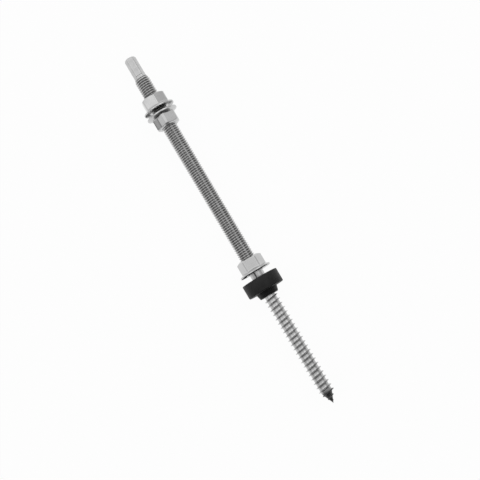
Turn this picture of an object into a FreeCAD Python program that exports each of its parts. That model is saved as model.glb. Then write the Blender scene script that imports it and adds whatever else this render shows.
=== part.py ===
import FreeCAD, Part
import math
import os
import re
import Sketcher
from FreeCAD import Placement, Rotation, Vector

# Hanger bolt M10 x 250: a stud with a hexagon drive, a machine thread and a wood
# thread, three flange nuts on the machine thread and a rubber seal on the shank.
#
# Every piece is drawn about its own Z axis, which is the bolt's axis. Lengths along
# the bolt run from the drive end to the point. The bolt lies on a floor at Z = 0, on
# the rim of the seal and the flange of the upper nut, and points along +X.
# The fine machine thread is left plain here: its cylinder is as wide as its crests.

# Driving dimensions in millimetres and degrees
SIZES = {
    # stud
    "overall_length": 250.0,
    "drive_flats": 7.0,
    "drive_corners": 7.7,
    "drive_length": 14.2,
    "drive_chamfer": 0.7,
    "thread_diameter": 9.85,
    "thread_stop": 156.0,
    "shank_diameter": 8.9,
    "shank_taper": 1.6,
    "core_diameter": 7.0,
    "ridge_diameter": 9.6,
    "ridge_start": 175.15,
    "ridge_pitch": 3.05,
    "ridge_root": 0.95,
    "point_length": 7.8,
    # flange nuts
    "nut_flats": 15.0,
    "nut_corners": 16.7,
    "nut_height": 9.8,
    "nut_bore_clearance": 0.06,
    "flange_diameter": 20.6,
    "flange_rim": 1.0,
    "flange_slope": 25.0,
    "flange_land": 0.41,
    # places of the nuts' bearing faces along the bolt
    "upper_nut_face": 38.1,
    "clamp_gap": 2.65,
    "lower_nut_face": 157.0,
    "upper_nut_turn": 7.0,
    # seal
    "seal_face": 161.1,
    "seal_diameter": 24.0,
    "seal_thickness": 8.9,
    "seal_bore_clearance": 0.02,
    "collar_diameter": 13.3,
    "collar_length": 3.7,
    "collar_cover": 0.7,
}

# The shank's end is hidden in the seal's collar, which covers it by collar_cover
SHANK_END = "seal_face + seal_thickness + collar_length - collar_cover"

# Inside the core the ridge's flanks run on until they nearly meet the next turn's
FOOT_SHARE = 0.48

doc = FreeCAD.newDocument("hanger_bolt")
sheet = doc.addObject("Spreadsheet::Sheet", "Sizes")


def fill_sheet():
    """Write each driving dimension to a row of its own and name its cell."""
    for row, (name, size) in enumerate(SIZES.items(), start=1):
        sheet.set(f"A{row}", name)
        sheet.set(f"B{row}", str(size))
        sheet.setAlias(f"B{row}", name)
    doc.recompute()


def bound(expression):
    """Put the sheet's name before each of its cells' names in an expression."""
    def cell(match):
        return f"Sizes.{match[0]}" if match[0] in SIZES else match[0]

    return re.sub("[a-z_]+", cell, expression)


def value(expression):
    """Work out an expression in the cells' names as a plain number."""
    return float(sheet.evalExpression(bound(expression)))


def new_body(label):
    body = doc.addObject("PartDesign::Body", label)
    body.Label = label
    return body


def new_sketch(body, name, plane):
    """Start a sketch on one of the body's own planes."""
    support = next(f for f in body.Origin.OriginFeatures if f.Role == plane)
    sketch = body.newObject("Sketcher::SketchObject", name)
    sketch.AttachmentSupport = (support, "")
    sketch.MapMode = "FlatFace"
    return sketch


def finish_feature(body, feature):
    body.Tip = feature
    doc.recompute()


def tie_corner(sketch, edge, place):
    """Tie the first end of an edge to a place given by two expressions."""
    for expression, kind, axis in zip(place, ("DistanceX", "DistanceY"), (-2, -1)):
        if expression == "0":
            sketch.addConstraint(Sketcher.Constraint("PointOnObject", edge, 1, axis))
            continue
        size = value(expression)
        number = sketch.addConstraint(Sketcher.Constraint(kind, -1, 1, edge, 1, size))
        name = f"{kind}_{edge}"
        sketch.renameConstraint(number, name)
        sketch.setExpression(f"Constraints.{name}", bound(expression))


def draw_outline(body, name, plane, corners):
    """Draw a closed outline through corners that are pairs of expressions."""
    sketch = new_sketch(body, name, plane)
    points = [Vector(value(across), value(along), 0) for across, along in corners]
    for i, point in enumerate(points):
        sketch.addGeometry(Part.LineSegment(point, points[(i + 1) % len(points)]))
    for i, corner in enumerate(corners):
        after = (i + 1) % len(corners)
        sketch.addConstraint(Sketcher.Constraint("Coincident", i, 2, after, 1))
        tie_corner(sketch, i, corner)
    return sketch


def draw_hexagon(sketch, flats, corner_axis):
    """Add a regular hexagon about the sketch's centre, with a corner on its X or Y."""
    radius = value(flats) / math.sqrt(3)
    start = 90 if corner_axis == "Y" else 0
    turns = [math.radians(start + 60 * i) for i in range(6)]
    points = [Vector(radius * math.cos(a), radius * math.sin(a), 0) for a in turns]
    guide = sketch.addGeometry(Part.Circle(Vector(), Vector(0, 0, 1), radius), True)
    sketch.addConstraint(Sketcher.Constraint("Coincident", guide, 3, -1, 1))
    first = sketch.GeometryCount
    for i in range(6):
        sketch.addGeometry(Part.LineSegment(points[i], points[(i + 1) % 6]))
    for i in range(6):
        edge, after = first + i, first + (i + 1) % 6
        sketch.addConstraint(Sketcher.Constraint("Coincident", edge, 2, after, 1))
        sketch.addConstraint(Sketcher.Constraint("PointOnObject", edge, 1, guide))
        if i:
            sketch.addConstraint(Sketcher.Constraint("Equal", first, edge))
    axis = -2 if corner_axis == "Y" else -1
    sketch.addConstraint(Sketcher.Constraint("PointOnObject", first, 1, axis))
    number = sketch.addConstraint(Sketcher.Constraint("Radius", guide, radius))
    sketch.renameConstraint(number, "corner_radius")
    sketch.setExpression("Constraints.corner_radius", f"{bound(flats)} / sqrt(3)")


def draw_circle(sketch, diameter):
    """Add a circle about the sketch's centre."""
    radius = value(diameter) / 2
    circle = sketch.addGeometry(Part.Circle(Vector(), Vector(0, 0, 1), radius))
    sketch.addConstraint(Sketcher.Constraint("Coincident", circle, 3, -1, 1))
    number = sketch.addConstraint(Sketcher.Constraint("Radius", circle, radius))
    sketch.renameConstraint(number, "circle_radius")
    sketch.setExpression("Constraints.circle_radius", f"({bound(diameter)}) / 2")


def turn(body, name, kind, corners):
    """Spin an outline of radii and lengths about Z, to add material or to cut it."""
    sketch = draw_outline(body, f"{name}Outline", "XZ_Plane", corners)
    feature = body.newObject(f"PartDesign::{kind}", name)
    feature.Profile = sketch
    feature.ReferenceAxis = (sketch, ["V_Axis"])
    feature.Angle = 360
    finish_feature(body, feature)


def make_stud():
    body = new_body("stud")
    add_stud_core(body)
    cut_hexagon_drive(body)
    add_wood_thread(body)
    return body


def add_stud_core(body):
    """Turn the stud: drive end, machine thread, shank, wood core and point."""
    run_out = "(thread_diameter - shank_diameter) / 2"
    turn(body, "StudCore", "Revolution", [
        ("0", "0"),
        ("drive_corners / 2 - drive_chamfer", "0"),
        ("drive_corners / 2", "drive_chamfer"),
        ("drive_corners / 2", "drive_length"),
        ("thread_diameter / 2", "drive_length"),
        ("thread_diameter / 2", "thread_stop"),
        ("shank_diameter / 2", f"thread_stop + {run_out}"),
        ("shank_diameter / 2", f"{SHANK_END} - shank_taper"),
        ("core_diameter / 2", SHANK_END),
        ("core_diameter / 2", "overall_length - point_length"),
        ("0", "overall_length"),
    ])


def cut_hexagon_drive(body):
    """Mill six flats on the drive end and leave its rounded corners."""
    cut_flats(body, "HexagonDrive", "drive_flats", "Y", "drive_length")


def cut_flats(body, name, flats, corner_axis, length):
    """Cut six flats on what stands on Z = 0, from there up to a length."""
    sketch = new_sketch(body, f"{name}Flats", "XY_Plane")
    draw_hexagon(sketch, flats, corner_axis)
    draw_circle(sketch, f"2 * {flats}")
    feature = body.newObject("PartDesign::Pocket", name)
    feature.Profile = sketch
    feature.Reversed = True
    feature.setExpression("Length", bound(length))
    finish_feature(body, feature)


def add_wood_thread(body):
    """Wind a sharp ridge round the core, in whole turns from the seal to the point."""
    slope = "ridge_root / (ridge_diameter - core_diameter)"
    foot_half = f"{FOOT_SHARE} * ridge_pitch"
    foot = f"ridge_diameter / 2 - {foot_half} / ({slope})"
    sketch = draw_outline(body, "RidgeOutline", "YZ_Plane", [
        (foot, f"ridge_start - {foot_half}"),
        ("ridge_diameter / 2", "ridge_start"),
        (foot, f"ridge_start + {foot_half}"),
    ])
    turns = value("(overall_length - point_length - ridge_start) / ridge_pitch")
    feature = body.newObject("PartDesign::AdditiveHelix", "WoodThread")
    feature.Profile = sketch
    feature.ReferenceAxis = (sketch, ["V_Axis"])
    feature.Mode = "pitch-turns-angle"
    feature.setExpression("Pitch", "Sizes.ridge_pitch")
    feature.Turns = math.floor(turns)
    finish_feature(body, feature)


def make_nut(label):
    """A flange nut that stands on its bearing face at Z = 0."""
    body = new_body(label)
    add_hexagon(body)
    add_flange(body)
    cut_nut_bore(body)
    return body


def add_hexagon(body):
    """A hexagon whose corners are blunted by narrow flats of their own."""
    sketch = new_sketch(body, "Hexagon", "XY_Plane")
    draw_hexagon(sketch, "nut_flats", "X")
    feature = body.newObject("PartDesign::Pad", "HexagonBody")
    feature.Profile = sketch
    feature.setExpression("Length", "Sizes.nut_height")
    finish_feature(body, feature)
    cut_flats(body, "BluntCorners", "nut_corners", "Y", "nut_height")


def add_flange(body):
    """Turn the flange: a thin rim and a slope up to just outside the corners."""
    shoulder = "nut_corners / 2 + flange_land"
    rise = f"(flange_diameter / 2 - ({shoulder})) * tan(flange_slope * 1 deg)"
    turn(body, "Flange", "Revolution", [
        ("0", "0"),
        ("flange_diameter / 2", "0"),
        ("flange_diameter / 2", "flange_rim"),
        (shoulder, f"flange_rim + {rise}"),
        ("0", f"flange_rim + {rise}"),
    ])


def cut_nut_bore(body):
    """Bore the nut to clear the crests of the stud's thread."""
    sketch = new_sketch(body, "BoreCircle", "XY_Plane")
    draw_circle(sketch, "thread_diameter + 2 * nut_bore_clearance")
    feature = body.newObject("PartDesign::Pocket", "Bore")
    feature.Profile = sketch
    feature.Reversed = True
    feature.setExpression("Length", "Sizes.nut_height")
    finish_feature(body, feature)


def make_seal():
    """A rubber disc and collar turned as one, with its upper face at Z = 0."""
    body = new_body("seal")
    grip = "shank_diameter / 2 + seal_bore_clearance"
    under = "seal_thickness"
    turn(body, "SealBody", "Revolution", [
        (grip, "0"),
        ("seal_diameter / 2", "0"),
        ("seal_diameter / 2", under),
        ("collar_diameter / 2", under),
        ("collar_diameter / 2", f"{under} + collar_length"),
        (grip, f"{under} + collar_length"),
    ])
    return body


def rest_pose():
    """The bolt's place on the floor: it lies on the upper nut's flange and the seal.

    Both are round, so the bolt's axis falls towards the drive end by the difference
    of their radii over the distance between them.
    """
    flange = value("flange_diameter / 2")
    flange_at = value("upper_nut_face - flange_rim")
    rim = value("seal_diameter / 2")
    rim_at = value("seal_face")
    tilt = math.atan2(rim - flange, rim_at - flange_at)
    height = flange * math.cos(tilt) - flange_at * math.sin(tilt)
    half = value("overall_length") / 2
    foot = Vector(-half * math.cos(tilt), 0, height)
    return Placement(foot, Rotation(Vector(0, 1, 0), 90 - math.degrees(tilt)))


def on_bolt(along, turned=0, faces_drive=False):
    """A place on the bolt's axis for a piece, turned about it and facing either way."""
    about_axis = Rotation(Vector(0, 0, 1), turned)
    facing = Rotation(Vector(1, 0, 0), 180 if faces_drive else 0)
    return rest_pose() * Placement(Vector(0, 0, along), facing * about_axis)


def place_pieces(stud, upper, middle, lower, seal):
    """Put each piece at its length along the bolt."""
    face = value("upper_nut_face")
    stud.Placement = on_bolt(0)
    upper.Placement = on_bolt(face, value("upper_nut_turn"), faces_drive=True)
    middle.Placement = on_bolt(face + value("clamp_gap"))
    lower.Placement = on_bolt(value("lower_nut_face"), 30, faces_drive=True)
    seal.Placement = on_bolt(value("seal_face"))


def check_model(pieces):
    """Stop if any object failed or any piece isn't one sound solid."""
    for item in doc.Objects:
        bad = {"Invalid", "Error"} & set(item.State)
        if bad:
            raise RuntimeError(f"{item.Label} is {sorted(bad)}")
    for piece in pieces:
        shape = piece.Shape
        if shape.isNull() or not shape.isValid() or len(shape.Solids) != 1:
            raise RuntimeError(f"{piece.Label} isn't one sound solid")


def write_pieces(pieces):
    os.makedirs("parts", exist_ok=True)
    for piece in pieces:
        piece.Shape.exportStep(f"parts/{piece.Label}.step")
        print(piece.Label, round(piece.Shape.Volume, 1), "mm3")


fill_sheet()
stud = make_stud()
upper_nut = make_nut("upper_flange_nut")
middle_nut = make_nut("middle_flange_nut")
lower_nut = make_nut("lower_flange_nut")
seal = make_seal()
pieces = (stud, upper_nut, middle_nut, lower_nut, seal)
place_pieces(*pieces)
doc.recompute()
check_model(pieces)
write_pieces(pieces)
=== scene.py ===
import math

import bmesh
import bpy
from mathutils import Matrix, Vector


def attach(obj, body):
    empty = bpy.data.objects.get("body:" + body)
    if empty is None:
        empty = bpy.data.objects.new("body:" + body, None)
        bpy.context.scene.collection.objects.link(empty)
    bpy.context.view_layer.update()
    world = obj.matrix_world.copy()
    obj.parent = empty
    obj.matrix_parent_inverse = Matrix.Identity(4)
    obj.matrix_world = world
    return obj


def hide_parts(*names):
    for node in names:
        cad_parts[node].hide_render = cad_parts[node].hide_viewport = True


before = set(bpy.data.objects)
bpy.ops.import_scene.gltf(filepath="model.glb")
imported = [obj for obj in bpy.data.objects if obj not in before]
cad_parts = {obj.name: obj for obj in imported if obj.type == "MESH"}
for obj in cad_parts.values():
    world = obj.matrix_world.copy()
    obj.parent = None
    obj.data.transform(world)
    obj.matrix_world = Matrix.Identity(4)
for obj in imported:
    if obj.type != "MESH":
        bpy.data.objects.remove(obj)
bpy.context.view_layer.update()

MM = 0.001

# Lengths along the bolt, from its drive end, and radii, in millimetres; turns in degrees
LENGTH = 250.0
DRIVE_FLATS = 7.0
DRIVE_RADIUS = 3.85
DRIVE_END = 14.2
THREAD_END = 156.0
THREAD_RADIUS = 4.925
THREAD_ROOT = 4.08
THREAD_PITCH = 1.5
THREAD_START = DRIVE_END - 1.08 * THREAD_PITCH
LEAD_IN_RADIUS = 3.97
LEAD_IN_SLOPE = 0.38
RUN_OUT = 2.5
SHANK_RADIUS = 4.45
SHANK_END = 171.4
CORE_START = 173.0
CORE_RADIUS = 3.5
RIDGE_RADIUS = 4.8
RIDGE_START = 175.15
RIDGE_PITCH = 3.05
POINT_LENGTH = 7.8
DARK_POINT_START = 241.2
NUT_FLATS = 15.0
NUT_CORNERS = 16.7
CORNER_SHARPNESS = 30.0
NUT_HEIGHT = 9.8
NUT_TOP_RADIUS = 6.4
NUT_BORE = 4.985
TEETH = 36
TEETH_INNER = 6.6
TEETH_OUTER = 10.15
TOOTH_DEPTH = 0.15
FLANGE_RADIUS = 10.3
FLANGE_RIM = 1.0
FLANGE_SLOPE = math.tan(math.radians(25))
UPPER_FACE = 38.1
UPPER_TURN = 97.0
MIDDLE_FACE = 40.75
MIDDLE_TURN = 90.0
LOWER_FACE = 157.0
LOWER_TURN = 60.0
SEAL_FACE = 161.1
SEAL_RADIUS = 12.0
SEAL_BORE = 4.47
SEAL_THICKNESS = 8.9
COLLAR_LENGTH = 3.7

TILT = math.atan2(SEAL_RADIUS - FLANGE_RADIUS, SEAL_FACE - UPPER_FACE + FLANGE_RIM)
ALONG = Vector((math.cos(TILT), 0, math.sin(TILT)))
SIDE = Vector((0, 1, 0))
UP = ALONG.cross(SIDE)


def on_axis(x):
    """The point of the bolt's axis at x millimetres from the drive end, in metres."""
    flange_at = UPPER_FACE - FLANGE_RIM
    height = FLANGE_RADIUS * math.cos(TILT) - flange_at * math.sin(TILT)
    foot = Vector((-LENGTH / 2 * math.cos(TILT), 0, height))
    return (foot + ALONG * x) * MM


def bolt_matrix(x=0.0, turned=0.0, faces_drive=False):
    """From millimetres about a piece's own X axis to the piece's place on the bolt."""
    axes = Matrix((ALONG * MM, SIDE * MM, UP * MM)).transposed().to_4x4()
    axes.translation = on_axis(x)
    if faces_drive:
        axes = axes @ Matrix.Rotation(math.pi, 4, "Z")
    return axes @ Matrix.Rotation(math.radians(turned), 4, "X")


# ---- mesh helpers ----


def point_at(x, radius, angle):
    """A point at an angle round the X axis, counted from the Y axis."""
    return (x, radius * math.cos(angle), radius * math.sin(angle))


def smooth_step(t):
    """From 0 to 1 as t goes from 0 to 1, level at both ends."""
    t = min(max(t, 0.0), 1.0)
    return t * t * (3 - 2 * t)


def within(value, limit, fade):
    """1 where value is near 0 on either side, fading to 0 at limit."""
    return smooth_step((limit - abs(value)) / fade)


def new_piece(name, points, dirt_and_painted_shade, faces, matrix, materials, sharp=32.0):
    """A smooth-shaded object from points in millimetres, with edges that stay sharp.

    The list after the points says how much dirt and painted shade each point keeps, from 0 to 1.
    Painted black shade and reflections, and the darker point, follow from each point's place on
    the bolt.
    """
    on_bolt = bolt_matrix().inverted() @ matrix
    shade_and_point_black = [shade_and_point_blackness(*(on_bolt @ Vector(point))) for point in points]
    mesh = bpy.data.meshes.new(name)
    mesh.from_pydata(points, [], faces)
    for label, values in (("dirt_and_painted_shade", dirt_and_painted_shade), ("black_shade_and_point", shade_and_point_black)):
        mesh.attributes.new(label, "FLOAT", "POINT").data.foreach_set("value", values)
    work = bmesh.new()
    work.from_mesh(mesh)
    bmesh.ops.remove_doubles(work, verts=work.verts, dist=1e-3)
    bmesh.ops.dissolve_degenerate(work, edges=work.edges, dist=1e-4)
    bmesh.ops.recalc_face_normals(work, faces=work.faces)
    work.to_mesh(mesh)
    work.free()
    mesh.transform(matrix)
    mesh.polygons.foreach_set("use_smooth", [True] * len(mesh.polygons))
    mesh.set_sharp_from_angle(angle=math.radians(sharp))
    for material in materials:
        mesh.materials.append(material)
    piece = bpy.data.objects.new(name, mesh)
    bpy.context.scene.collection.objects.link(piece)
    return piece


def join_rows(faces, first, count, rows, closed=False):
    """Quads between rows of count points each, which start at index first."""
    for row in range(rows if closed else rows - 1):
        here = first + row * count
        there = first + (row + 1) % rows * count
        for i in range(count):
            j = (i + 1) % count
            faces.append((here + i, here + j, there + j, there + i))


# ---- stud ----

STUD_SEGMENTS = 72
STUD_ANGLES = [2 * math.pi * i / STUD_SEGMENTS for i in range(STUD_SEGMENTS)]

# Dark streaks along the shank, by their place round it in degrees; the two on its top, at 105 and
# 110, are a painted reflection
SHANK_STREAKS = {105: 0.9, 110: 0.6, 200: 0.5, 270: 0.8, 330: 0.4}


def mirrored(flank):
    """A ridge's profile from one flank, which goes from its foot to its crest."""
    return [(-offset, radius, darkness) for offset, radius, darkness in flank] + flank[::-1]


def wind_rows(points, dirt_and_painted_shade, faces, turns, pitch, start, profile, shape):
    """A helical strip whose profile meets itself a turn later.

    The profile gives each point's offset along the axis, radius and darkness.

    shape limits a point's place and radius, so that the strip begins and ends in a
    plain ring: all of its first and last turn lies in one ring there.
    """
    first = len(points)
    width = len(profile)
    steps = STUD_SEGMENTS * turns
    for k in range(steps + 1):
        angle = STUD_ANGLES[k % STUD_SEGMENTS]
        for offset, radius, darkness in profile:
            x = start + pitch * k / STUD_SEGMENTS + offset
            points.append(point_at(*shape(x, radius), angle))
            dirt_and_painted_shade.append(darkness)

    def join(here, there):
        """A quad from two neighbours in the strip, each a step and a place in it."""
        (k, i), (m, j) = here, there
        corners = ((k, i), (k + 1, i), (m + 1, j), (m, j))
        faces.append(tuple(first + step * width + place for step, place in corners))

    for k in range(steps):
        for j in range(width - 1):
            join((k, j), (k, j + 1))
        if k + STUD_SEGMENTS < steps:
            join((k, width - 1), (k + STUD_SEGMENTS, 0))


def machine_shape(x, radius):
    """Machine thread: a lead-in cone at the drive end, a run-out into the shank."""
    x = min(max(x, DRIVE_END), THREAD_END)
    radius = min(radius, LEAD_IN_RADIUS + (x - DRIVE_END) * LEAD_IN_SLOPE)
    fade = smooth_step((THREAD_END - x) / RUN_OUT)
    return x, SHANK_RADIUS + (radius - SHANK_RADIUS) * fade


def wood_shape(x, radius):
    """Wood thread: the ridge rises within a third of a turn and runs out on the point."""
    x = min(max(x, CORE_START), LENGTH)
    turn = (x - RIDGE_START) / RIDGE_PITCH
    rise = smooth_step((turn + 0.4) / 0.35)
    run_out = min(1.0, (LENGTH - x) / POINT_LENGTH)
    return x, CORE_RADIUS * run_out + (radius - CORE_RADIUS) * rise * run_out


def drive_radius(angle):
    """Radius of the hexagon drive, with rounded corners and a flat facing up."""
    off_flat = (angle - math.pi / 2 + math.pi / 6) % (math.pi / 3) - math.pi / 6
    return min(DRIVE_FLATS / 2 / math.cos(off_flat), DRIVE_RADIUS)


def add_drive(points, dirt_and_painted_shade, faces):
    """Drive end: a chamfered face, six flats and a shoulder where the thread starts."""
    drive = [drive_radius(a) for a in STUD_ANGLES]
    # Each row's place, radii and darkness: painted shade on the chamfer and at the shoulder.
    rows = [
        (0.0, [min(r, 3.0) - 0.05 for r in drive], 0.0),
        (0.1, [min(r, 3.05) for r in drive], 0.0),
        (0.75, [min(r, 3.62) for r in drive], 0.1),
        (0.95, [min(r, 3.76) for r in drive], 0.0),
        (1.3, drive, 0.0),
        (DRIVE_END - 0.5, drive, 0.0),
        (DRIVE_END, [r + 0.35 * (DRIVE_RADIUS - r) for r in drive], 0.3),
        (DRIVE_END, [LEAD_IN_RADIUS] * STUD_SEGMENTS, 0.3),
    ]
    for x, radii, darkness in rows:
        points.extend(point_at(x, r, a) for r, a in zip(radii, STUD_ANGLES))
        dirt_and_painted_shade.extend([darkness] * STUD_SEGMENTS)
    join_rows(faces, 0, STUD_SEGMENTS, len(rows))
    faces.append(tuple(range(STUD_SEGMENTS)))


def add_first_crest(points, dirt_and_painted_shade, faces):
    """The faint crest that rolling the thread left on the end of the drive's flats."""
    foot, sunk, height = 0.32, 0.08, 0.09
    first = len(points)
    half = STUD_SEGMENTS // 2
    end = round((DRIVE_END - THREAD_START) / THREAD_PITCH * STUD_SEGMENTS)
    for k in range(-half, end):
        angle = 2 * math.pi * k / STUD_SEGMENTS
        x = THREAD_START + THREAD_PITCH * k / STUD_SEGMENTS
        radius = drive_radius(angle)
        lift = height * min(1.0, (k + half) / half)
        points.append(point_at(x - foot, radius - sunk, angle))
        points.append(point_at(x, radius + lift, angle))
        points.append(point_at(x + foot, radius - sunk, angle))
        # Painted shade at the crest's two feet.
        dirt_and_painted_shade.extend((0.8, 0.0, 0.8))
    last = len(points) - 3
    for here in range(first, last, 3):
        for i, j in ((0, 1), (1, 2), (2, 0)):
            faces.append((here + i, here + j, here + 3 + j, here + 3 + i))
    faces.extend([(first, first + 2, first + 1), (last, last + 1, last + 2)])


def add_machine_thread(points, dirt_and_painted_shade, faces):
    """The M10 thread, with painted highlights: less dark in two bands along its top, below the
    middle nut.
    """
    add_first_crest(points, dirt_and_painted_shade, faces)
    # Darkness falls from root to crest: dirt and painted shade in the thread's roots.
    flank = [
        (0.46 * THREAD_PITCH, THREAD_ROOT, 1.0),
        (0.38 * THREAD_PITCH, THREAD_ROOT + 0.1, 0.8),
        (0.13 * THREAD_PITCH, THREAD_RADIUS - 0.1, 0.0),
        (0.07 * THREAD_PITCH, THREAD_RADIUS, 0.0),
    ]
    turns = math.ceil((THREAD_END - DRIVE_END) / THREAD_PITCH) + 3
    winding = (turns, THREAD_PITCH, THREAD_START, mirrored(flank), machine_shape)
    first = len(points)
    wind_rows(points, dirt_and_painted_shade, faces, *winding)
    for i in range(first, len(points)):
        x, side, up = points[i]
        turn = math.degrees(math.atan2(side, up))
        # Two painted highlights: lighter bands along the thread's top.
        painted_highlight = 0.6 * within(turn - 18, 13, 9) + 0.25 * within(turn + 15, 9, 8)
        dirt_and_painted_shade[i] *= 0.85 - painted_highlight * (x > MIDDLE_FACE)


def add_shank(points, dirt_and_painted_shade, faces):
    """The plain shank and its taper into the wood thread's core."""
    rows = [
        (THREAD_END, SHANK_RADIUS),
        (THREAD_END + 0.5, SHANK_RADIUS),
        (SHANK_END, SHANK_RADIUS),
        (CORE_START, CORE_RADIUS),
    ]
    first = len(points)
    for x, r in rows:
        points.extend(point_at(x, r, a) for a in STUD_ANGLES)
        dirt_and_painted_shade.extend(SHANK_STREAKS.get(round(math.degrees(a)), 0.0) for a in STUD_ANGLES)
    join_rows(faces, first, STUD_SEGMENTS, len(rows))


def add_wood_thread(points, dirt_and_painted_shade, faces):
    # The ridge is a little darker on its flanks than at its foot and crest.
    flank = [
        (0.75, CORE_RADIUS, 0.0),
        (0.52, CORE_RADIUS + 0.05, 0.2),
        (0.34, CORE_RADIUS + 0.3, 0.28),
        (0.1, RIDGE_RADIUS - 0.14, 0.2),
        (0.03, RIDGE_RADIUS, 0.0),
    ]
    lead = math.ceil((RIDGE_START - CORE_START) / RIDGE_PITCH) + 1
    turns = math.ceil((LENGTH - RIDGE_START) / RIDGE_PITCH) + lead + 2
    start = RIDGE_START - lead * RIDGE_PITCH
    winding = (turns, RIDGE_PITCH, start, mirrored(flank), wood_shape)
    wind_rows(points, dirt_and_painted_shade, faces, *winding)


def make_stud(materials):
    points, dirt_and_painted_shade, faces = [], [], []
    for add_part in (add_drive, add_machine_thread, add_shank, add_wood_thread):
        add_part(points, dirt_and_painted_shade, faces)
    return new_piece("threaded_stud", points, dirt_and_painted_shade, faces, bolt_matrix(), materials)


# ---- nuts ----


def hexagon_radius(angle):
    """Radius of a nut's hexagon, one blunted corner of which is at angle 0."""
    off_corner = (angle + math.pi / 6) % (math.pi / 3) - math.pi / 6
    off_flat = math.pi / 6 - abs(off_corner)
    flat = NUT_FLATS / 2 / math.cos(off_flat)
    blunt = NUT_CORNERS / 2 / math.cos(off_corner)
    powers = (math.exp(-CORNER_SHARPNESS * radius) for radius in (flat, blunt))
    return -math.log(sum(powers)) / CORNER_SHARPNESS


def nut_angles():
    """Angles round a nut, closer together at the hexagon's corners."""
    half = [0, 1.2, 2.2, 2.8, 3.25, 3.65, 4.05, 4.5, 5.1, 6, 8, 11, 15, 19, 23, 26.5]
    sector = half + [30] + [60 - a for a in reversed(half[1:])]
    return [math.radians(60 * i + a) for i in range(6) for a in sector]


def nut_slope(radius):
    """Height of the flange's slope above the bearing face."""
    return FLANGE_RIM + (FLANGE_RADIUS - radius) * FLANGE_SLOPE


def nut_rows(hexagon):
    """Radius and height of each row of a nut at one angle, from its bearing face."""
    chamfer = NUT_HEIGHT - (hexagon - NUT_TOP_RADIUS) * math.tan(math.radians(30))
    root = nut_slope(hexagon)
    return [
        (NUT_BORE, 0.65),
        (5.5, TOOTH_DEPTH),
        (9.95, TOOTH_DEPTH),
        (10.15, TOOTH_DEPTH + 0.04),
        (10.27, TOOTH_DEPTH + 0.16),
        (FLANGE_RADIUS, TOOTH_DEPTH + 0.3),
        (FLANGE_RADIUS, 0.85),
        (10.26, 0.99),
        (10.12, nut_slope(10.12)),
        (9.6, nut_slope(9.6)),
        (hexagon + 0.5, nut_slope(hexagon + 0.5)),
        (hexagon + 0.25, root - 0.03),
        (hexagon + 0.07, root + 0.14),
        (hexagon, root + 0.4),
        (hexagon, root + 0.75),
        (hexagon, root + 1.15),
        (hexagon, chamfer - 0.5),
        (hexagon, chamfer - 0.16),
        (hexagon - 0.03, chamfer - 0.04),
        (hexagon - 0.12, chamfer + 0.05),
        (NUT_TOP_RADIUS + 0.12, NUT_HEIGHT - 0.07),
        (NUT_TOP_RADIUS - 0.12, NUT_HEIGHT),
        (5.55, NUT_HEIGHT),
        (NUT_BORE, NUT_HEIGHT - 0.5),
    ]


def make_nut(name, matrix, materials):
    angles = nut_angles()
    columns = [nut_rows(hexagon_radius(a)) for a in angles]
    points, faces = [], []
    for row in range(len(columns[0])):
        points.extend(point_at(c[row][1], c[row][0], a) for c, a in zip(columns, angles))
    join_rows(faces, 0, len(angles), len(columns[0]), closed=True)
    dirt_and_painted_shade = [0.0] * len(points)
    add_serrations(points, dirt_and_painted_shade, faces)
    return new_piece(name, points, dirt_and_painted_shade, faces, matrix, materials)


def add_serrations(points, dirt_and_painted_shade, faces):
    """Ratchet teeth that stand out of the bearing face's ring, each a closed wedge."""
    step = 2 * math.pi / TEETH
    sunk = TOOTH_DEPTH + 0.03
    for i in range(TEETH):
        first = len(points)
        for radius, crest in ((TEETH_INNER, TOOTH_DEPTH * 0.45), (TEETH_OUTER, 0.0)):
            points.append(point_at(sunk, radius, i * step))
            points.append(point_at(crest, radius, (i + 0.8) * step))
            points.append(point_at(sunk, radius, (i + 0.98) * step))
            # Painted shade at each tooth's two feet.
            dirt_and_painted_shade.extend((0.3, 0.0, 0.3))
        a, b, c, d, e, f = range(first, first + 6)
        faces.extend([(a, b, c), (d, f, e), (a, d, e, b), (b, e, f, c), (a, c, f, d)])


# ---- seal ----

SEAL_SEGMENTS = 144


def make_seal(materials):
    under = SEAL_THICKNESS
    end = under + COLLAR_LENGTH
    rows = [
        (SEAL_BORE, 0.0),
        (11.6, 0.0),
        (11.82, 0.04),
        (11.95, 0.14),
        (SEAL_RADIUS, 0.3),
        (SEAL_RADIUS, under - 0.65),
        (11.93, under - 0.33),
        (11.72, under - 0.1),
        (11.4, under),
        (7.4, under),
        (7.18, under + 0.08),
        (7.08, under + 0.35),
        (6.3, end - 0.45),
        (6.15, end - 0.12),
        (5.85, end),
        (4.8, end),
        (SEAL_BORE, end - 0.25),
    ]
    angles = [2 * math.pi * i / SEAL_SEGMENTS for i in range(SEAL_SEGMENTS)]
    points, faces = [], []
    for r, x in rows:
        points.extend(point_at(x, r, a) for a in angles)
    join_rows(faces, 0, SEAL_SEGMENTS, len(rows), closed=True)
    place = bolt_matrix(SEAL_FACE)
    return new_piece("rubber_seal", points, [0.0] * len(points), faces, place, materials, 50.0)


# ---- painted black shade and reflections on the steel, and its darker point ----


def shade_and_point_blackness(x, side, up):
    """How black the steel is at a place on the bolt, in millimetres, from 0 to 1: painted shade,
    painted reflections and a darker point.
    """
    radius = math.hypot(side, up)
    turn = math.degrees(math.atan2(side, up))
    # The point is darker from 241.2 mm to the tip.
    dark_point = 0.8 * smooth_step((x - DARK_POINT_START) / 1.2)
    return max(
        dark_point,
        painted_gap_shade(x, side, up, radius),
        middle_nut_shade_and_reflection(x - MIDDLE_FACE, side, up, radius, turn),
        lower_shade_and_reflection(x, radius, turn),
    )


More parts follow.
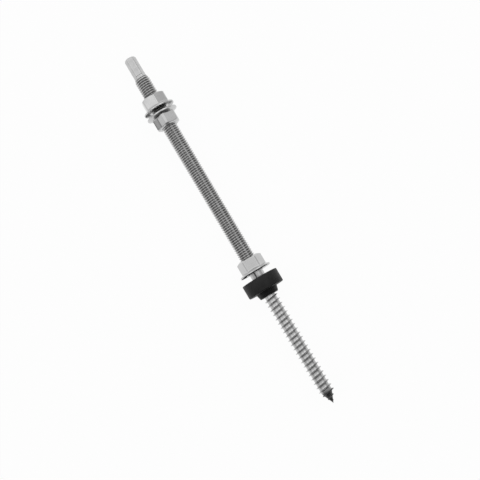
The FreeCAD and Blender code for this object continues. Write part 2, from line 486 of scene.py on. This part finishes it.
def painted_gap_shade(x, side, up, radius):
    """Painted shade between the two upper nuts: on the thread, and on the upper nut's face."""
    black_share = within(x - (UPPER_FACE + MIDDLE_FACE) / 2, 1.9, 0.5)
    if radius < THREAD_RADIUS + 0.1:
        return black_share * 0.5
    if radius < 10.05 and up > 0:
        return black_share * 0.9 * within(side, 5.6, 1.2)
    return 0.0


def middle_nut_shade_and_reflection(height, side, up, radius, turn):
    """Painted shade and a painted reflection on the middle nut's upper side, by height from its
    bearing face.
    """
    hexagon = hexagon_radius(math.radians(turn))
    # Painted shade on the flange's slope, on its top
    if 1.0 < height < 3.0 and radius < 10.2:  # the flange's slope
        if up <= 0:
            return 0.0
        black_share = 0.86 - 0.45 * smooth_step((radius - 8.9) / 1.0)
        return black_share * within(side, 6.6, 2.8) * smooth_step((radius - hexagon - 0.07) / 0.2)
    # Painted shade in a line along the hexagon's foot
    if radius > 7 and abs(height - nut_slope(hexagon) - 0.75) < 0.05 and -62 < turn < -5:
        return 0.55  # a line along the hexagon's foot
    # A painted reflection: half a flat made dark
    if radius > 7 and 3.0 < height < 9.0 and -66 < turn < -32:
        return 0.38 + 0.35 * smooth_step((abs(turn + 46) - 5) / 9)  # half a flat
    # Painted shade at the end of the top corner
    if 8.6 < height < 9.9 and up > 0:
        return 0.45 * within(side, 1.7, 0.8)  # the end of the top corner
    return 0.0


def lower_shade_and_reflection(x, radius, turn):
    """A painted reflection in a streak along the shank's top, and painted shade on the lower
    nut's face.
    """
    # A painted reflection along the shank's top
    if radius < SHANK_RADIUS + 0.1 and THREAD_END < x < SHANK_END:
        return 0.8 * within(turn + 16, 11, 9)
    # Painted shade on the top of the lower nut's bearing face
    if 5.2 < radius < 10.28 and abs(x - LOWER_FACE) < 0.35:
        return within(turn, 62, 12)
    return 0.0


# ---- materials ----


def new_material(name, settings):
    """A Principled material whose sockets are set by name."""
    material = bpy.data.materials.new(name)
    material.use_nodes = True
    shader = material.node_tree.nodes["Principled BSDF"]
    for socket, value in settings.items():
        shader.inputs[socket].default_value = value
    return material, shader


def add_node(material, kind, **inputs):
    node = material.node_tree.nodes.new(kind)
    for name, value in inputs.items():
        node.inputs[name].default_value = value
    return node


def link(material, source, target):
    material.node_tree.links.new(source, target)


def object_coordinates(material, scale):
    """Coordinates in metres times scale, along X, Y and Z."""
    texture = add_node(material, "ShaderNodeTexCoord")
    mapping = add_node(material, "ShaderNodeMapping")
    mapping.inputs["Scale"].default_value = scale
    link(material, texture.outputs["Object"], mapping.inputs["Vector"])
    return mapping.outputs["Vector"]


def noise(material, scale, detail=4.0, roughness=0.55):
    """A noise texture's factor, its scale in features per metre along each axis."""
    node = add_node(material, "ShaderNodeTexNoise", Scale=1.0, Detail=detail, Roughness=roughness)
    link(material, object_coordinates(material, scale), node.inputs["Vector"])
    return node.outputs["Fac"]


def ramp(material, factor, stops):
    """Colour ramp with (place, grey or colour) stops."""
    node = add_node(material, "ShaderNodeValToRGB")
    link(material, factor, node.inputs["Fac"])
    elements = node.color_ramp.elements
    while len(elements) < len(stops):
        elements.new(1.0)
    for element, (place, colour) in zip(elements, stops):
        element.position = place
        rgb = (colour, colour, colour) if isinstance(colour, float) else colour
        element.color = (*rgb, 1.0)
    return node.outputs["Color"]


def mix(owner, factor, first, second):
    """A mix of two colour sockets by a factor socket."""
    node = owner.node_tree.nodes.new("ShaderNodeMix")
    node.data_type = "RGBA"
    link(owner, factor, node.inputs["Factor"])
    link(owner, first, node.inputs["A"])
    link(owner, second, node.inputs["B"])
    return node.outputs["Result"]


def weigh(owner, socket, factor, plus):
    """A socket's value times factor, plus a number or another socket's value."""
    node = owner.node_tree.nodes.new("ShaderNodeMath")
    node.operation = "MULTIPLY_ADD"
    link(owner, socket, node.inputs[0])
    node.inputs[1].default_value = factor
    if isinstance(plus, float):
        node.inputs[2].default_value = plus
    else:
        link(owner, plus, node.inputs[2])
    return node.outputs[0]


def attribute(material, name):
    """The value that each point of the mesh has under name."""
    node = add_node(material, "ShaderNodeAttribute")
    node.attribute_name = name
    return node.outputs["Fac"]


def add_bump(material, shader, height, strength, distance):
    bump = add_node(material, "ShaderNodeBump", Strength=strength, Distance=distance)
    link(material, height, bump.inputs["Height"])
    link(material, bump.outputs["Normal"], shader.inputs["Normal"])


def steel(name, light, dark, roughness, grain):
    """Steel with blotchy gloss, dirt and painted shade in its grooves, and matt black in places:
    painted shade, painted reflections and the darker point.
    """
    material, shader = new_material(name, {"Metallic": 1.0})
    blotches = noise(material, (220, 220, 220))
    clean = ramp(material, blotches, [(0.35, dark), (0.65, light)])
    # Dark colours for dirt and painted shade, and black for painted shade, painted reflections
    # and the point.
    dark_mottle = noise(material, (900, 900, 900))
    dirt_and_shade_colour = ramp(material, dark_mottle, [(0.3, (0.1, 0.098, 0.096)), (0.7, (0.2, 0.196, 0.192))])
    shade_and_point_black = ramp(material, dark_mottle, [(0.3, (0.04, 0.04, 0.04)), (0.75, (0.12, 0.118, 0.116))])
    black_share = attribute(material, "black_shade_and_point")
    colour = mix(material, attribute(material, "dirt_and_painted_shade"), clean, dirt_and_shade_colour)
    link(material, mix(material, black_share, colour, shade_and_point_black), shader.inputs["Base Color"])
    gloss = noise(material, (500, 500, 500), 6.0, 0.65)
    low, high = roughness
    bright = ramp(material, gloss, [(0.3, low), (0.7, high)])
    matt = ramp(material, gloss, [(0.3, 0.5), (0.7, 0.65)])
    link(material, mix(material, black_share, bright, matt), shader.inputs["Roughness"])
    add_bump(material, shader, noise(material, grain, 5.0, 0.6), 0.25, 0.00004)
    return material


def rubber(name):
    """Matt black rubber with a mottled skin."""
    material, shader = new_material(name, {"Specular IOR Level": 0.3})
    mottle = noise(material, (300, 300, 300))
    colour = ramp(material, mottle, [(0.3, 0.007), (0.7, 0.013)])
    link(material, colour, shader.inputs["Base Color"])
    gloss = noise(material, (700, 700, 700), 6.0, 0.6)
    link(material, ramp(material, gloss, [(0.3, 0.42), (0.7, 0.6)]), shader.inputs["Roughness"])
    add_bump(material, shader, noise(material, (1600, 1600, 1600), 5.0, 0.6), 0.3, 0.00008)
    return material


# ---- studio ----

FLOOR_REACH = 12.0

# How much of the floor's light is its own, to the camera and in the steel
FLOOR_TO_CAMERA = 0.96
FLOOR_IN_STEEL = 0.85

# Brightness of the floor in the steel, by metres along X: it fades beyond the bolt's tip
PAPER = [(0.0, 1.0), (0.14, 0.9), (0.26, 0.15), (0.5, 0.02)]

# Brightness of the air in the steel along X and along Y, by (1 + direction) / 2
TO_TIP = [
    (0.0, 1.05),
    (0.38, 1.03),
    (0.46, 0.92),
    (0.5, 0.83),
    (0.62, 0.48),
    (0.76, 0.04),
    (1.0, 0.01),
]
TO_RIGHT = [
    (0.0, 0.66),
    (0.08, 0.71),
    (0.15, 0.75),
    (0.3, 0.9),
    (0.5, 0.85),
    (0.75, 0.94),
    (0.92, 0.69),
    (0.965, 0.58),
    (1.0, 0.5),
]

# Brightness of the air to the camera, and the strength of all of it
AIR_TO_CAMERA = 0.91
AIR_STRENGTH = 1.1

LAMP_WIDTH = 0.45
LAMP_LENGTH = 0.7
LAMP_RADIANCE = 0.25

# The photo's focal length and width in pixels
PHOTO_FOCAL = 1068.2
PHOTO_WIDTH = 480
SENSOR_WIDTH = 36.0

# The camera's distance and what it looks at, in millimetres, and its angles to the bolt
CAMERA_DISTANCE = 663.0
CAMERA_LEAN = math.radians(5.6)
CAMERA_ROLL = math.radians(30.7066)
AIM_ALONG = 134.9
AIM_ASIDE = 1.67


def make_floor():
    """A white floor, which shines by itself to the camera and in the steel."""
    mesh = bpy.data.meshes.new("studio_floor")
    work = bmesh.new()
    bmesh.ops.create_grid(work, x_segments=8, y_segments=8, size=FLOOR_REACH)
    work.to_mesh(mesh)
    work.free()
    floor = bpy.data.objects.new("studio_floor", mesh)
    bpy.context.scene.collection.objects.link(floor)
    settings = {"Base Color": (0.9, 0.9, 0.9, 1.0), "Roughness": 0.9}
    material, shader = new_material("floor_paint", settings)
    nodes = material.node_tree.nodes
    rays = nodes.new("ShaderNodeLightPath").outputs
    split = nodes.new("ShaderNodeSeparateXYZ")
    link(material, object_coordinates(material, (1, 1, 1)), split.inputs[0])
    paper = ramp(material, split.outputs["X"], PAPER)
    white = ramp(material, split.outputs["X"], [(0.0, 1.0), (1.0, 1.0)])
    glow = nodes.new("ShaderNodeEmission")
    link(material, mix(material, rays["Is Camera Ray"], paper, white), glow.inputs["Color"])
    seen = weigh(material, rays["Is Camera Ray"], FLOOR_TO_CAMERA, 0.0)
    share = weigh(material, rays["Is Glossy Ray"], FLOOR_IN_STEEL, seen)
    blend = nodes.new("ShaderNodeMixShader")
    link(material, share, blend.inputs["Fac"])
    link(material, shader.outputs[0], blend.inputs[1])
    link(material, glow.outputs[0], blend.inputs[2])
    link(material, blend.outputs[0], nodes["Material Output"].inputs["Surface"])
    mesh.materials.append(material)


def make_world():
    """Plain white air to the camera, which the steel sees dark towards the bolt's tip."""
    world = bpy.data.worlds.new("studio")
    bpy.context.scene.world = world
    world.use_nodes = True
    nodes = world.node_tree.nodes
    split = nodes.new("ShaderNodeSeparateXYZ")
    link(world, nodes.new("ShaderNodeTexCoord").outputs["Generated"], split.inputs[0])
    along = weigh(world, split.outputs["X"], 0.5, 0.5)
    across = weigh(world, split.outputs["Y"], 0.5, 0.5)
    product = nodes.new("ShaderNodeVectorMath")
    product.operation = "MULTIPLY"
    link(world, ramp(world, along, TO_TIP), product.inputs[0])
    link(world, ramp(world, across, TO_RIGHT), product.inputs[1])
    plain = ramp(world, along, [(0.0, AIR_TO_CAMERA), (1.0, AIR_TO_CAMERA)])
    to_camera = nodes.new("ShaderNodeLightPath").outputs["Is Camera Ray"]
    background = nodes["Background"]
    link(world, mix(world, to_camera, product.outputs[0], plain), background.inputs["Color"])
    background.inputs["Strength"].default_value = AIR_STRENGTH


def add_strip_lamp(name, place):
    """A long soft lamp beside the camera, in line with the bolt and aimed at it."""
    data = bpy.data.lights.new(name, "AREA")
    data.shape = "RECTANGLE"
    data.size, data.size_y = LAMP_LENGTH, LAMP_WIDTH
    data.energy = LAMP_RADIANCE * math.pi * LAMP_WIDTH * LAMP_LENGTH
    lamp = bpy.data.objects.new(name, data)
    away = Vector((0, place[1], place[2])).normalized()
    along = Vector((1, 0, 0))
    lamp.matrix_world = Matrix((along, away.cross(along), away)).transposed().to_4x4()
    lamp.location = place
    bpy.context.scene.collection.objects.link(lamp)


def make_camera():
    """Looks down from the tip side; the bolt runs from upper left to lower right."""
    back = UP * math.cos(CAMERA_LEAN) + ALONG * math.sin(CAMERA_LEAN)
    down_bolt = ALONG * math.cos(CAMERA_LEAN) - UP * math.sin(CAMERA_LEAN)
    right = down_bolt * math.sin(CAMERA_ROLL) + SIDE * math.cos(CAMERA_ROLL)
    up = SIDE * math.sin(CAMERA_ROLL) - down_bolt * math.cos(CAMERA_ROLL)
    aim = on_axis(AIM_ALONG) + SIDE * AIM_ASIDE * MM
    place = Matrix((right, up, back)).transposed().to_4x4()
    place.translation = aim + back * CAMERA_DISTANCE * MM
    data = bpy.data.cameras.new("camera")
    data.sensor_width = SENSOR_WIDTH
    data.lens = PHOTO_FOCAL / PHOTO_WIDTH * SENSOR_WIDTH
    data.clip_start = 0.01
    camera = bpy.data.objects.new("camera", data)
    camera.matrix_world = place
    bpy.context.scene.collection.objects.link(camera)
    bpy.context.scene.camera = camera


# ---- scene ----

stud_steel = steel("stud_steel", 0.6, 0.52, (0.2, 0.32), (250, 2500, 2500))
nut_steel = steel("nut_steel", 0.6, 0.56, (0.08, 0.15), (1200, 1200, 1200))
black_rubber = rubber("black_rubber")

stud = make_stud([stud_steel])
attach(stud, "bolt")
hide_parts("stud")

for name, node, body, place in (
    ("upper_nut_detail", "upper_flange_nut", "upper_nut", (UPPER_FACE, UPPER_TURN, True)),
    ("middle_nut_detail", "middle_flange_nut", "middle_nut", (MIDDLE_FACE, MIDDLE_TURN)),
    ("lower_nut_detail", "lower_flange_nut", "lower_nut", (LOWER_FACE, LOWER_TURN, True)),
):
    nut = make_nut(name, bolt_matrix(*place), [nut_steel])
    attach(nut, body)
    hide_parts(node)

seal = make_seal([black_rubber])
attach(seal, "bolt")
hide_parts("seal")

make_floor()
make_world()
add_strip_lamp("left_strip", (-0.2, -0.5, 0.75))
add_strip_lamp("right_strip", (-0.2, 0.45, 0.75))
make_camera()
bpy.context.scene.view_settings.view_transform = "Standard"
